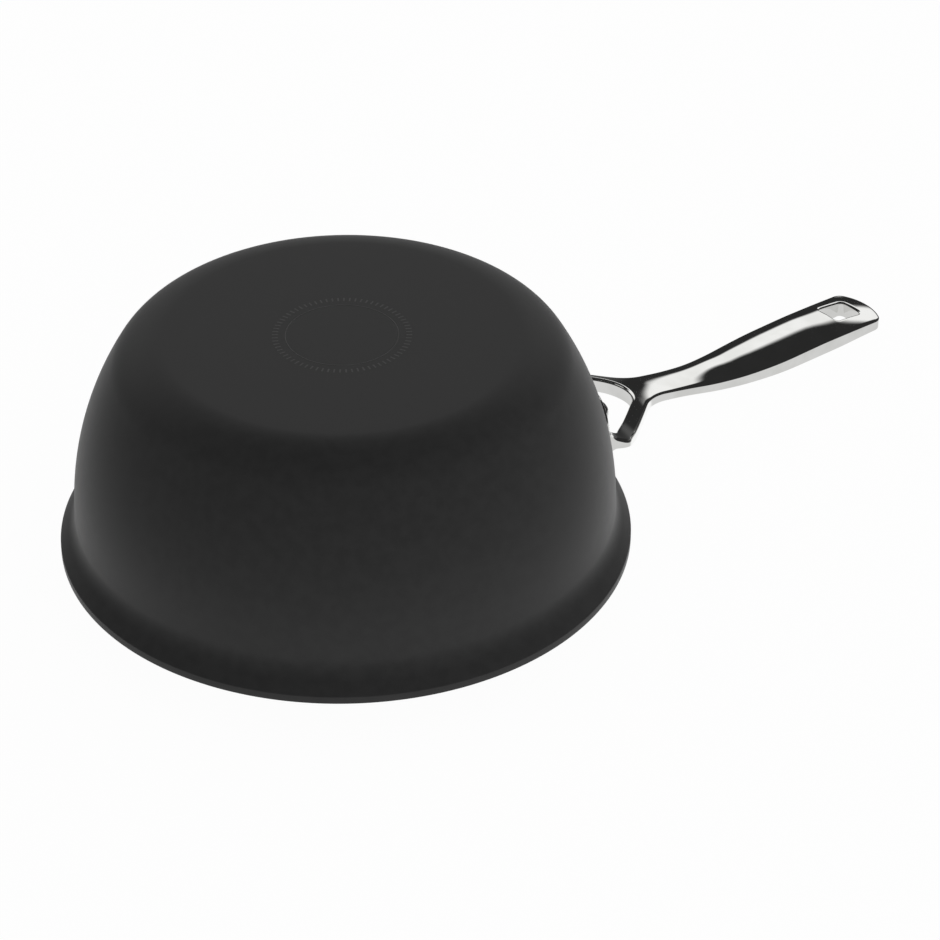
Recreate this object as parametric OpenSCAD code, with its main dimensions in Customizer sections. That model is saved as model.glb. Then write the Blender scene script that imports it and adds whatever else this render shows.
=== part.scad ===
// Deep saute pan: a spun bowl with a flared pouring rim, and a cast handle whose forked root is riveted
// to the wall. The base rests on z = 0, the axis of the bowl is Z, and the handle runs along +X.

/* [Bowl] */
// Radius of the rim over its edge
rim_r = 127; // [119:1:140]
// Height from the base to the top of the rim
bowl_h = 103; // [92:1:125]
// Radius of the flat part of the base
base_r = 77; // [68:1:82]
// Radius of the shoulder between the base and the wall
shoulder_r = 27; // [20:1:30]
// How far the rim flares out past the wall
flare_w = 7; // [6:0.5:9]
// Radius of the bend from the wall to the flare
flare_bend_r = 15; // [11:1:18]
// Slope of the flare above the horizontal, in degrees
flare_slope = 51; // [46:1:56]
// Width of the narrow flat on top of the rim
edge_land = 0.95; // [0.6:0.05:1.4]
// Thickness of the aluminium wall
wall_t = 2.75; // [2.25:0.05:3.75]
// Thickness of the aluminium base
base_t = 6; // [5:0.1:8]
// Radius of the shoulder inside the bowl
inner_shoulder_r = 22; // [16:1:25]
// Thickness of the non-stick lining
lining_t = 0.25; // [0.15:0.05:0.5]

/* [Base plate] */
// Radius of the steel plate cast into the base
plate_r = 68; // [55:1:74]
// Thickness of the steel plate
plate_t = 1; // [0.6:0.1:2]
// Aluminium left under the steel plate
plate_cover = 1.2; // [0.8:0.1:2]

/* [Handle] */
// Length of the handle from the wall to the tip
handle_l = 208; // [180:1:235]
// Depth of the root's underside below the top of the rim
root_drop = 20.5; // [18:0.5:24]
// Height that the underside climbs from root to tip
handle_rise = 31.5; // [27:0.5:38]
// Width at the narrowest place, behind the fork
neck_w = 18.6; // [16:0.2:21]
// Distance of the narrowest place from the wall
neck_d = 71; // [66:1:78]
// Width at the widest place
grip_w = 30; // [26:0.2:33]
// Distance of the widest place from the wall
swell_d = 146; // [125:1:160]
// Width at the end of the grip
tip_w = 30.2; // [26:0.2:33]
// Radius of the end's curve in plan
tip_r = 25; // [20:1:45]
// Radius of the corners of the end
tip_corner_r = 6; // [3:0.5:8]
// Height of the flat sides where they are highest
side_h = 7.6; // [6:0.1:8.5]
// Bulge of the underside between the sides
crown_h = 4.2; // [2.5:0.1:5]
// Longest way from an edge of the handle over which the bulge rises
bulge_reach = 20; // [18:0.5:22]
// Length over which the bulge dies out at the tip
tip_fade = 28; // [20:1:34]
// Bulge of the top between the sides
top_crown_h = 2; // [1:0.1:3]

/* [Fork] */
// Width over both feet of the fork
fork_w = 98; // [90:0.5:102]
// Distance of the crotch from the wall
crotch_d = 46; // [42:0.5:50]
// Radius of the crotch
crotch_r = 15.5; // [13:0.5:17]
// Width of an arm
arm_w = 7.3; // [6:0.1:8.4]
// Width of a foot, where an arm meets the wall
foot_w = 6.6; // [5.5:0.1:8]
// Angle between an arm and the handle, in degrees
arm_angle = 39; // [37:0.5:41]
// Radius of the bend from the neck into an arm
neck_bend_r = 28; // [20:1:32]
// Radius of the outer bend at a foot
foot_bend_r = 12; // [8:1:14]
// How softly the edges of the arms and the neck run together under the bulge
edge_blend = 6; // [4:0.5:8]
// How softly the bulge's reach gives way to the handle's half width where it narrows
reach_blend = 3; // [2:0.5:5]
// Radius of the inner bend at a foot
foot_inner_r = 5; // [3:0.5:7]

/* [Hanging hole] */
// Length of the hole along the handle
hole_l = 17; // [12:0.1:20]
// Width of the hole
hole_w = 13.8; // [10:0.2:15]
// Radius of the hole's corners
hole_corner_r = 2.5; // [2:0.25:4]
// Metal between the hole and the tip
hole_end = 10.5; // [9:0.5:15]

/* [Bracket and rivets] */
// Thickness of the bracket plate on the wall
bracket_t = 3; // [2.5:0.1:4]
// Height of the bracket plate
bracket_h = 28; // [24:0.5:32]
// Width of the bracket plate
bracket_w = 104; // [102:0.5:108]
// Radius of the bracket plate's corners
bracket_corner_r = 11; // [7:0.5:12]
// Distance between the rivets, measured on the wall
rivet_gap = 82; // [76:0.5:86]
// Depth of the rivets below the top of the rim
rivet_drop = 36; // [34:0.5:38]
// Radius of a rivet's shank
shank_r = 3; // [2.5:0.1:3.5]
// Radius of the formed head on the bracket
outer_head_r = 4.6; // [4:0.1:6]
// Height of the formed head
outer_head_h = 3; // [2:0.1:3.5]
// Radius of the flat head inside the bowl
inner_head_r = 6.5; // [5.5:0.1:8]
// Height of the flat head
inner_head_h = 2; // [1.5:0.1:3]

/* [Hidden] */
$fn = 96;

// Overrun of every cut past the metal that it goes through
cut = 3;
// Gap between a rivet's shank and its holes
rivet_fit = 0.05;
// Steps in each arc of the bowl's section, and in each small bend
bowl_steps = 14;
bend_steps = 8;
// Stations along the handle and columns across it, and how strongly the stations crowd towards both ends
grip_stations = 52;
grip_columns = 14;
crowding_share = 0.5;
// Straight edge of a rivet's head, as a share of the head's height
head_edge_share = 0.25;

// Underside of the handle: share of its length, share of its rise, and steepness in shares
underside_shares = [
  [0, 0, 2.8],
  [0.048, 0.13, 3],
  [0.096, 0.27, 2.4],
  [0.154, 0.389, 1.85],
  [0.231, 0.506, 1.45],
  [0.288, 0.588, 1.45],
  [0.385, 0.735, 1.5],
  [0.462, 0.84, 1.05],
  [0.519, 0.885, 0.62],
  [0.6, 0.912, 0.2],
  [0.78, 0.93, 0.12],
  [0.865, 0.953, 0.3],
  [1, 1, 0.35],
];
// Largest share of the run from base to neck that the shoulder's bend may take
shoulder_limit_share = 0.75;
// Height of the flat sides: share of the length, share of side_h
side_shares = [[0, 0.4], [0.1, 0.6], [0.25, 0.7], [0.38, 0.66], [0.8, 1], [1, 0.8]];
// Bulge: share of the length, share of the full bulge
crown_shares = [[0, 0.8], [0.15, 0.8], [0.3, 0.22], [0.54, 0.95], [0.8, 0.9], [1, 0.7]];

// Bowl section: the flare is worked out from the rim down, then one arc joins it to the shoulder
sheet_t = wall_t + lining_t;
neck_r = rim_r - flare_w;
lip_h = sheet_t / cos(flare_slope) - edge_land * tan(flare_slope);
cone_r = neck_r + flare_bend_r * (1 - sin(flare_slope));
cone_z = bowl_h - lip_h - (rim_r - cone_r) * tan(flare_slope);
neck_z = cone_z - flare_bend_r * cos(flare_slope);
wall_run = neck_r - base_r;
turn_r = min(shoulder_r, wall_run * shoulder_limit_share);
wall_arc_r = (pow(wall_run, 2) + pow(neck_z - turn_r, 2) - pow(turn_r, 2)) / (2 * (wall_run - turn_r));
wall_arc_x = neck_r - wall_arc_r;

// Fork and grip in plan
tip_x = neck_r + handle_l;
crotch_x = neck_r + crotch_d - crotch_r;
foot_y = fork_w / 2;
foot_inner_y = foot_y - foot_w;
root_x = sqrt(pow(neck_r, 2) - pow(foot_y, 2)) - cut;
hole_x = tip_x - hole_end - hole_l / 2;

// Rivets stand square to the wall, on lines through the centre of the wall's arc
rivet_angle = asin(rivet_gap / 2 / neck_r);
rivet_z = bowl_h - rivet_drop;
rivet_tilt = asin((neck_z - rivet_z) / wall_arc_r);
inner_seat = sheet_t + pow(inner_head_r, 2) / (2 * (neck_r - sheet_t));

function reversed(list) = [for (i = [len(list) - 1:-1:0]) list[i]];
function mirrored(points) = [for (p = reversed(points)) [p[0], -p[1]]];

// Points of an arc about [x, z], with angles counted from straight down
function bowl_arc(x, z, r, from, to, steps) =
  [for (i = [0:steps]) let (a = from + (to - from) * i / steps) [x + r * sin(a), z - r * cos(a)]];

// The side of the bowl, inset from its outer face and up to its rim, over a floor and a shoulder of its own
function bowl_side(inset, floor_z, corner_r) =
  let (
    reach = wall_arc_r - inset - corner_r,
    drop = neck_z - floor_z - corner_r,
    corner_x = wall_arc_x + sqrt(pow(reach, 2) - pow(drop, 2)),
    turn = atan2(corner_x - wall_arc_x, drop),
    bend_r = flare_bend_r + inset,
    bend_end = bowl_arc(neck_r + flare_bend_r, neck_z, -bend_r, 90, flare_slope, bend_steps)[bend_steps]
  )
  concat(
    bowl_arc(corner_x, floor_z + corner_r, corner_r, 0, turn, bowl_steps),
    bowl_arc(wall_arc_x, neck_z, wall_arc_r - inset, turn, 90, bowl_steps),
    bowl_arc(neck_r + flare_bend_r, neck_z, -bend_r, 90, flare_slope, bend_steps),
    inset > 0 ? [[bend_end[0] + (bowl_h - bend_end[1]) / tan(flare_slope), bowl_h]]
              : [[rim_r, bowl_h - lip_h], [rim_r, bowl_h]]
  );

function outer_side() = bowl_side(0, 0, turn_r);
function lined_side() = bowl_side(wall_t, base_t, inner_shoulder_r);
function inner_side() = bowl_side(sheet_t, base_t + lining_t, inner_shoulder_r - lining_t);

// Value of a table at a share, eased between its rows or bent by the slopes in its third column
function row_at(table, s, i = 0) = i >= len(table) - 2 || s < table[i + 1][0] ? i : row_at(table, s, i + 1);
function eased(table, s) =
  let (i = row_at(table, s), a = table[i], b = table[i + 1], u = min(1, max(0, (s - a[0]) / (b[0] - a[0]))))
  a[1] + (b[1] - a[1]) * (1 - cos(180 * u)) / 2;
function bent(table, s) =
  let (i = row_at(table, s), a = table[i], b = table[i + 1], l = b[0] - a[0], u = (s - a[0]) / l)
  a[1] * (1 + 2 * u) * pow(1 - u, 2) + a[2] * l * u * pow(1 - u, 2)
  + b[1] * (3 - 2 * u) * pow(u, 2) + b[2] * l * (u - 1) * pow(u, 2);

// The greater and the lesser of two lengths, run together softly where they are nearly equal
function soft_max(a, b, blend) = (a + b + norm([a - b, blend])) / 2;
function soft_min(a, b, blend) = (a + b - norm([a - b, blend])) / 2;

// Half width of the grip, narrowest at the neck and widest at the swell
function grip_half(x) =
  let (d = x - neck_r)
  eased([[neck_d, neck_w / 2], [swell_d, grip_w / 2], [handle_l, tip_w / 2]], d);
// Outer edge of an arm before its bends, and the edge from which the whole handle bulges
function arm_edge(x) = (crotch_r + arm_w - (x - crotch_x) * sin(arm_angle)) / cos(arm_angle);
function edge_half(x) = soft_max(arm_edge(x), grip_half(x), edge_blend);

// Heights of the underside and the top at a place in plan
function along(x) = (x - neck_r) / handle_l;
function domed(depth, reach) = 1 - pow(1 - min(1, max(0, depth / reach)), 2);
function bulge(x, y) =
  eased(crown_shares, along(x))
  * domed(edge_half(x) - abs(y), soft_min(edge_half(x), bulge_reach, reach_blend))
  * domed(tip_x - x - pow(y, 2) / (2 * tip_r), tip_fade);
function edge_z(x) = bowl_h - root_drop + handle_rise * bent(underside_shares, along(x));
function under_z(x, y) = edge_z(x) - crown_h * bulge(x, y);
function top_z(x, y) = edge_z(x) + side_h * eased(side_shares, along(x)) + top_crown_h * bulge(x, y);

// Centre of a bend that lies t along an arm from the crotch and off its inner edge, and reaches y
function bend_centre(off, y) =
  let (t = (y - off * cos(arm_angle)) / sin(arm_angle))
  [crotch_x + off * sin(arm_angle) - t * cos(arm_angle), y];
function bend(c, r, from, to) =
  [for (i = [0:bend_steps])
    let (a = from + (to - from) * i / bend_steps) [c[0] + r * sin(a), c[1] + r * cos(a)]];

// Half of the handle's outline in plan, from the outside of a foot to the tip and from the crotch to the foot
function outer_half() =
  let (
    foot_c = bend_centre(crotch_r + arm_w - foot_bend_r, foot_y - foot_bend_r),
    neck_c = bend_centre(crotch_r + arm_w + neck_bend_r, neck_w / 2 + neck_bend_r),
    corner_y = tip_w / 2 - tip_corner_r,
    corner_x = tip_x - tip_r + sqrt(pow(tip_r - tip_corner_r, 2) - pow(corner_y, 2)),
    corner_a = atan2(corner_x - tip_x + tip_r, corner_y),
    steps = grip_stations / 2,
    from_x = max(neck_c[0], neck_r + neck_d)
  )
  concat(
    [[root_x, foot_y]],
    bend(foot_c, foot_bend_r, 0, arm_angle),
    reversed(bend(neck_c, -neck_bend_r, 0, arm_angle)),
    [for (i = [1:steps - 1]) let (x = from_x + (corner_x - from_x) * i / steps) [x, grip_half(x)]],
    bend([corner_x, corner_y], tip_corner_r, 0, corner_a),
    [for (i = [1:bend_steps - 1])
      let (a = corner_a + (90 - corner_a) * i / bend_steps) [tip_x - tip_r + tip_r * sin(a), tip_r * cos(a)]]
  );
function inner_half() =
  let (foot_c = bend_centre(crotch_r - foot_inner_r, foot_inner_y - foot_inner_r))
  concat(
    bend([crotch_x, 0], crotch_r, 90, arm_angle),
    reversed(bend(foot_c, foot_inner_r, 0, arm_angle)),
    [[root_x, foot_inner_y]]
  );

module handle_plan() {
  difference() {
    polygon(concat(
      outer_half(), [[tip_x, 0]], mirrored(outer_half()), mirrored(inner_half()), inner_half()
    ));
    translate([hole_x, 0]) rounded_box(hole_l, hole_w, hole_corner_r);
  }
}

module rounded_box(l, w, r) {
  polygon([for (q = [0:3], i = [0:bend_steps])
    let (a = 90 * (q + i / bend_steps), sx = q == 0 || q == 3 ? 1 : -1, sy = q < 2 ? 1 : -1)
    [sx * (l / 2 - r) + r * cos(a), sy * (w / 2 - r) + r * sin(a)]]);
}

// Share of the way to a station, crowded towards both ends
function crowded(u) = (1 - crowding_share) * u + crowding_share * (1 - cos(180 * u)) / 2;

// Slab with the handle's crowned top and underside, wider than the plan that trims it
module handle_slab() {
  nx = grip_stations;
  ny = grip_columns;
  from = root_x - cut;
  to = tip_x + cut;
  xs = [for (i = [0:nx]) from + (to - from) * crowded(i / nx)];
  points = [for (x = xs, j = [0:ny], k = [0, 1])
    let (y = (2 * j / ny - 1) * (edge_half(x) + cut))
    [x, y, k == 0 ? under_z(x, y) : top_z(x, y)]];
  function at(i, j, k) = (i * (ny + 1) + j) * 2 + k;
  function two(a, b, c, d) = [[a, b, c], [a, c, d]];
  function top_cell(i, j) = two(at(i, j, 1), at(i, j + 1, 1), at(i + 1, j + 1, 1), at(i + 1, j, 1));
  function low_cell(i, j) = two(at(i, j, 0), at(i + 1, j, 0), at(i + 1, j + 1, 0), at(i, j + 1, 0));
  faces = concat(
    [for (i = [0:nx - 1], j = [0:ny - 1], f = concat(top_cell(i, j), low_cell(i, j))) f],
    [for (i = [0:nx - 1], f = two(at(i, 0, 0), at(i, 0, 1), at(i + 1, 0, 1), at(i + 1, 0, 0))) f],
    [for (i = [0:nx - 1], f = two(at(i, ny, 0), at(i + 1, ny, 0), at(i + 1, ny, 1), at(i, ny, 1))) f],
    [for (j = [0:ny - 1], f = two(at(0, j, 0), at(0, j + 1, 0), at(0, j + 1, 1), at(0, j, 1))) f],
    [for (j = [0:ny - 1], f = two(at(nx, j, 0), at(nx, j, 1), at(nx, j + 1, 1), at(nx, j + 1, 0))) f]
  );
  polyhedron(points, faces, convexity = 6);
}

// Solid of the whole bowl, filled to the rim
module filled_bowl() {
  rotate_extrude() polygon(concat([[0, 0]], outer_side(), [[0, bowl_h]]));
}

// Plate under the rim with rounded corners, whose face follows the wall; its back is cut to the bowl later
module bracket() {
  low_turn = acos((bracket_h + cut) / wall_arc_r);
  half_turn = asin((bracket_w / 2 + cut) / neck_r);
  back = bowl_arc(wall_arc_x, neck_z, wall_arc_r - bracket_t, low_turn, 90, bend_steps);
  face = bowl_arc(wall_arc_x, neck_z, wall_arc_r + bracket_t, low_turn, 90, bend_steps);
  intersection() {
    rotate([0, 0, -half_turn]) rotate_extrude(angle = 2 * half_turn) polygon(concat(back, reversed(face)));
    translate([0, 0, neck_z - bracket_h / 2])
      rotate([90, 0, 90])
        linear_extrude(height = rim_r + bracket_t) rounded_box(bracket_w, bracket_h, bracket_corner_r);
  }
}

// Puts what it holds on a rivet's axis, with z outwards and z = 0 on the bowl's outer face
module at_rivet(side) {
  rotate([0, 0, side * rivet_angle])
    translate([wall_arc_x, 0, neck_z])
      rotate([0, rivet_tilt, 0])
        translate([wall_arc_r, 0, 0])
          rotate([0, 90, 0]) children();
}

module rivet_holes() {
  for (side = [-1, 1])
    at_rivet(side)
      translate([0, 0, -inner_seat - cut])
        cylinder(r = shank_r + rivet_fit, h = inner_seat + bracket_t + 2 * cut);
}

// Domed head of radius r and height h, standing on z = 0 with a short straight edge
module head(r, h) {
  dome_h = h * (1 - head_edge_share);
  dome_r = (pow(r, 2) + pow(dome_h, 2)) / (2 * dome_h);
  turn = asin(r / dome_r);
  rotate_extrude()
    polygon(concat(
      [[0, 0], [r, 0]],
      [for (i = [bend_steps:-1:1])
        let (a = turn * i / bend_steps) [dome_r * sin(a), h - dome_r + dome_r * cos(a)]],
      [[0, h]]
    ));
}

module rivet(side) {
  at_rivet(side) {
    translate([0, 0, -inner_seat - inner_head_h / 2])
      cylinder(r = shank_r, h = inner_seat + bracket_t + (inner_head_h + outer_head_h) / 2);
    translate([0, 0, bracket_t]) head(outer_head_r, outer_head_h);
    translate([0, 0, -inner_seat]) rotate([180, 0, 0]) head(inner_head_r, inner_head_h);
  }
}

module pan_body() {
  color([0.13, 0.13, 0.13])
    difference() {
      rotate_extrude()
        polygon(concat([[0, 0]], outer_side(), reversed(lined_side()), [[0, base_t]]));
      translate([0, 0, plate_cover]) cylinder(r = plate_r, h = plate_t);
      rivet_holes();
    }
}

module nonstick_lining() {
  color([0.07, 0.07, 0.07])
    difference() {
      rotate_extrude()
        polygon(concat([[0, base_t]], lined_side(), reversed(inner_side()), [[0, base_t + lining_t]]));
      rivet_holes();
    }
}

module base_plate() {
  color([0.6, 0.6, 0.62]) translate([0, 0, plate_cover]) cylinder(r = plate_r, h = plate_t);
}

module handle() {
  color([0.82, 0.82, 0.82])
    difference() {
      union() {
        intersection() {
          handle_slab();
          linear_extrude(height = bowl_h + handle_rise + side_h) handle_plan();
        }
        bracket();
      }
      filled_bowl();
      rivet_holes();
    }
}

module rivet_left() {
  color([0.8, 0.8, 0.8]) rivet(1);
}

module rivet_right() {
  color([0.8, 0.8, 0.8]) rivet(-1);
}

pan_body();
nonstick_lining();
base_plate();
handle();
rivet_left();
rivet_right();
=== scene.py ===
import bmesh
import bpy
import math
from mathutils import Matrix, Vector


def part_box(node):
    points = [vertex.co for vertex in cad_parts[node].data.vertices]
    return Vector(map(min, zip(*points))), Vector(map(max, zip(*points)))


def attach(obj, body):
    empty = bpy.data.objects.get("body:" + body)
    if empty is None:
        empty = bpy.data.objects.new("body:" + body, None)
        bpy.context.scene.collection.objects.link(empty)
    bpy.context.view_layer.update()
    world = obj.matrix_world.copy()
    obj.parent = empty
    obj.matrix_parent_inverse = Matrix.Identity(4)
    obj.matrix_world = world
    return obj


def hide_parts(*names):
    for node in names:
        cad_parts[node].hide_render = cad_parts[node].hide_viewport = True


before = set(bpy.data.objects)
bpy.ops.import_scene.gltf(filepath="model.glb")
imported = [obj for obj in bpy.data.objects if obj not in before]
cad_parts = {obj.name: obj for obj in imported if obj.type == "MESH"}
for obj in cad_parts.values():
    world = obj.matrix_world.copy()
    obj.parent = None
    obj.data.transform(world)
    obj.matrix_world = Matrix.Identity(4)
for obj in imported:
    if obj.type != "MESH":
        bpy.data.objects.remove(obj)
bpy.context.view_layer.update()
scene = bpy.context.scene
mm = 0.001
turn = 2 * math.pi
weld = 0.002 * mm  # points closer than this are one point
print("frame loaded:", ", ".join(sorted(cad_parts)))


# Small tools for node trees and meshes

def put(tree, kind, inputs=None, **settings):  # adds a node, then links or fills its inputs
    node = tree.nodes.new(kind)
    for name, value in settings.items():
        setattr(node, name, value)
    for key, value in (inputs or {}).items():
        if isinstance(value, bpy.types.NodeSocket):
            tree.links.new(value, node.inputs[key])
        else:
            node.inputs[key].default_value = value
    return node


def calc(tree, operation, *values):
    return put(tree, "ShaderNodeMath", dict(enumerate(values)), operation=operation).outputs[0]


def ramp(tree, value, fromLow, fromHigh, toLow, toHigh, smooth=True):
    kind = "SMOOTHSTEP" if smooth else "LINEAR"
    inputs = {0: value, 1: fromLow, 2: fromHigh, 3: toLow, 4: toHigh}
    return put(tree, "ShaderNodeMapRange", inputs, interpolation_type=kind).outputs[0]


def mixColor(tree, factor, first, second):  # both colours may be values or sockets
    inputs = {0: factor}
    for key, color in ((6, first), (7, second)):
        inputs[key] = color if isinstance(color, bpy.types.NodeSocket) else (*color, 1)
    return put(tree, "ShaderNodeMix", inputs, data_type="RGBA").outputs[2]


def startTree(name, inputs):
    tree = bpy.data.node_groups.new(name, "GeometryNodeTree")
    tree.interface.new_socket("Geometry", in_out="OUTPUT", socket_type="NodeSocketGeometry")
    for label, kind in inputs:
        tree.interface.new_socket(label, in_out="INPUT", socket_type="NodeSocket" + kind)
    return tree, tree.nodes.new("NodeGroupInput").outputs


def endTree(tree, geometry, material):
    solid = put(tree, "GeometryNodeRealizeInstances", {0: geometry})
    painted = put(tree, "GeometryNodeSetMaterial", {"Geometry": solid.outputs[0], "Material": material})
    put(tree, "NodeGroupOutput", {0: painted.outputs[0]})
    return tree


def runTree(name, source, tree, values):  # the tree's result as a plain mesh object
    holder = bpy.data.objects.new(name + "Source", source)
    scene.collection.objects.link(holder)
    modifier = holder.modifiers.new("Shape", "NODES")
    modifier.node_group = tree
    for item in tree.interface.items_tree:
        if item.in_out == "INPUT" and item.name in values:
            modifier[item.identifier] = values[item.name]
    graph = bpy.context.evaluated_depsgraph_get()
    made = bpy.data.meshes.new_from_object(holder.evaluated_get(graph), depsgraph=graph)
    holder.modifiers.remove(modifier)
    bpy.data.objects.remove(holder)
    return addPiece(name, made)


def addPiece(name, mesh):
    piece = bpy.data.objects.new(name, mesh)
    scene.collection.objects.link(piece)
    return piece


def chainMesh(name, points):  # a profile in the XZ plane as a chain of edges
    mesh = bpy.data.meshes.new(name)
    mesh.from_pydata([(x, 0, z) for x, z in points], [(i, i + 1) for i in range(len(points) - 1)], [])
    return mesh


def rounded(before, corner, after, radius, steps=6):  # points of a fillet in place of a corner
    corner, a, b = Vector(corner), Vector(before) - Vector(corner), Vector(after) - Vector(corner)
    a.normalize()
    b.normalize()
    half = a.angle(b) / 2
    centre = corner + (a + b).normalized() * radius / math.sin(half)
    start = (corner + a * radius / math.tan(half) - centre).normalized()
    end = (corner + b * radius / math.tan(half) - centre).normalized()
    return [tuple(centre + start.slerp(end, i / steps) * radius) for i in range(steps + 1)]


def paintedTree(name):  # a material with an empty surface shader
    material = bpy.data.materials.new(name)
    material.use_nodes = True
    tree = material.node_tree
    tree.nodes.clear()
    shader = tree.nodes.new("ShaderNodeBsdfPrincipled")
    put(tree, "ShaderNodeOutputMaterial", {"Surface": shader.outputs[0]})
    return material, tree, shader


def paint(tree, shader, look, tone, wear, normal):  # the colour follows tone, the roughness wear
    color = mixColor(tree, ramp(tree, tone, *look["toneReach"], 0, 1), look["dark"], look["light"])
    rough = ramp(tree, wear, *look["roughReach"], look["roughLow"], look["roughHigh"])
    for socket, name in ((color, "Base Color"), (rough, "Roughness"), (normal, "Normal")):
        tree.links.new(socket, shader.inputs[name])


def place(tree, stretch=1):  # object coordinates that draw a noise out along X
    spot = tree.nodes.new("ShaderNodeTexCoord").outputs["Object"]
    return put(tree, "ShaderNodeMapping", {"Vector": spot, "Scale": (1 / stretch, 1, 1)}).outputs[0]


def grain(tree, spot, noise):
    size, detail = noise
    inputs = {"Vector": spot, "Scale": 1 / size, "Detail": detail}
    return put(tree, "ShaderNodeTexNoise", inputs).outputs[0]


def weighted(tree, first, second, share):  # the second gets the rest
    return calc(tree, "MULTIPLY_ADD", first, share, calc(tree, "MULTIPLY", second, 1 - share))


def axisDistance(tree, spot):  # distance from the bowl's axis
    flat = put(tree, "ShaderNodeVectorMath", {0: spot, 1: (1, 1, 0)}, operation="MULTIPLY").outputs[0]
    return put(tree, "ShaderNodeVectorMath", {0: flat}, operation="LENGTH").outputs["Value"]


def ripple(tree, distance, pitch):  # rises and falls once in every pitch
    return calc(tree, "SINE", calc(tree, "MULTIPLY", distance, turn / pitch))


def relief(tree, height, bump, below=None):
    depth, strength = bump
    inputs = {"Height": height, "Distance": depth, "Strength": strength}
    if below is not None:
        inputs["Normal"] = below
    return put(tree, "ShaderNodeBump", inputs).outputs[0]


# Finishes: a noise is its grain size and detail, a relief its depth and strength, and a reach the
# values of a noise between which the tone or the roughness passes from its lowest to its highest

hardCoatLook = {
    "dark": (0.0224, 0.0224, 0.0225),
    "light": (0.026, 0.026, 0.0261),
    "toneReach": (0.35, 0.65),
    "roughLow": 0.52,
    "roughHigh": 0.56,
    "roughReach": (0.3, 0.7),
    "specular": 0.2,
    "sheen": 0.19,
    "sheenRoughness": 0.4,
    "patches": (5 * mm, 4),
    "grain": (0.35 * mm, 2),
    "grainShare": 0.35,
    "grainRelief": (0.012 * mm, 0.6),
    "turningPitch": 0.9 * mm,
    "turningRelief": (0.004 * mm, 0.35),
}


def hardCoat(look):
    material, tree, shader = paintedTree("hardCoat")
    shader.inputs["Specular IOR Level"].default_value = look["specular"]
    shader.inputs["Sheen Weight"].default_value = look["sheen"]
    shader.inputs["Sheen Roughness"].default_value = look["sheenRoughness"]
    spot = place(tree)
    patches = grain(tree, spot, look["patches"])
    fine = grain(tree, spot, look["grain"])
    height = put(tree, "ShaderNodeSeparateXYZ", {0: spot}).outputs[2]
    along = calc(tree, "ADD", axisDistance(tree, spot), height)
    rings = relief(tree, ripple(tree, along, look["turningPitch"]), look["turningRelief"])
    paint(tree, shader, look, weighted(tree, fine, patches, look["grainShare"]), patches,
          relief(tree, fine, look["grainRelief"], rings))
    return material


nonstickLook = {
    "dark": (0.0135, 0.0135, 0.014),
    "light": (0.0155, 0.0155, 0.016),
    "toneReach": (0.35, 0.65),
    "roughLow": 0.33,
    "roughHigh": 0.37,
    "roughReach": (0.3, 0.7),
    "patches": (30 * mm, 1),
    "peel": (2.4 * mm, 1),
    "peelRelief": (0.02 * mm, 0.25),
    "ringPitch": 2 * mm,
    "ringRelief": (0.006 * mm, 0.4),
}


def nonstickCoat(look):
    material, tree, shader = paintedTree("nonstickCoat")
    spot = place(tree)
    patches = grain(tree, spot, look["patches"])
    rings = relief(tree, ripple(tree, axisDistance(tree, spot), look["ringPitch"]), look["ringRelief"])
    peel = relief(tree, grain(tree, spot, look["peel"]), look["peelRelief"], rings)
    paint(tree, shader, look, patches, patches, peel)
    return material


polishLook = {
    "dark": (0.83, 0.83, 0.815),
    "light": (0.9, 0.9, 0.89),
    "toneReach": (0.35, 0.65),
    "roughLow": 0.03,
    "roughHigh": 0.065,
    "roughReach": (0.35, 0.65),
    "haze": (14 * mm, 4),
    "lines": (0.18 * mm, 2),
    "lineStretch": 40,
    "lineShare": 0.4,
    "lineRelief": (0.0012 * mm, 0.3),
}


def polishedSteel(look):
    material, tree, shader = paintedTree("polishedSteel")
    shader.inputs["Metallic"].default_value = 1
    haze = grain(tree, place(tree), look["haze"])
    lines = grain(tree, place(tree, look["lineStretch"]), look["lines"])
    paint(tree, shader, look, haze, weighted(tree, lines, haze, look["lineShare"]),
          relief(tree, lines, look["lineRelief"]))
    return material


rivetLook = {
    "dark": (0.7, 0.7, 0.69),
    "light": (0.84, 0.84, 0.83),
    "toneReach": (0.3, 0.7),
    "roughLow": 0.12,
    "roughHigh": 0.24,
    "roughReach": (0.3, 0.7),
    "specks": (1.2 * mm, 3),
    "ringPitch": 0.35 * mm,
    "ringShade": 0.12,
    "ringRelief": (0.006 * mm, 0.5),
}


def turnedSteel(look):
    material, tree, shader = paintedTree("turnedSteel")
    shader.inputs["Metallic"].default_value = 1
    radius = put(tree, "ShaderNodeAttribute", attribute_name="turnRadius").outputs["Fac"]
    rings = ripple(tree, radius, look["ringPitch"])
    specks = grain(tree, place(tree), look["specks"])
    tone = calc(tree, "MULTIPLY_ADD", rings, look["ringShade"], specks)
    paint(tree, shader, look, tone, specks, relief(tree, rings, look["ringRelief"]))
    return material


plateLook = {
    "dark": (0.45, 0.45, 0.46),
    "light": (0.62, 0.62, 0.63),
    "toneReach": (0.35, 0.65),
    "roughLow": 0.28,
    "roughHigh": 0.42,
    "roughReach": (0.3, 0.7),
    "grain": (0.3 * mm, 4),
    "grainStretch": 30,
    "grainRelief": (0.004 * mm, 0.4),
}


def rolledSteel(look):
    material, tree, shader = paintedTree("rolledSteel")
    shader.inputs["Metallic"].default_value = 1
    rolled = grain(tree, place(tree, look["grainStretch"]), look["grain"])
    paint(tree, shader, look, rolled, rolled, relief(tree, rolled, look["grainRelief"]))
    return material


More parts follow.
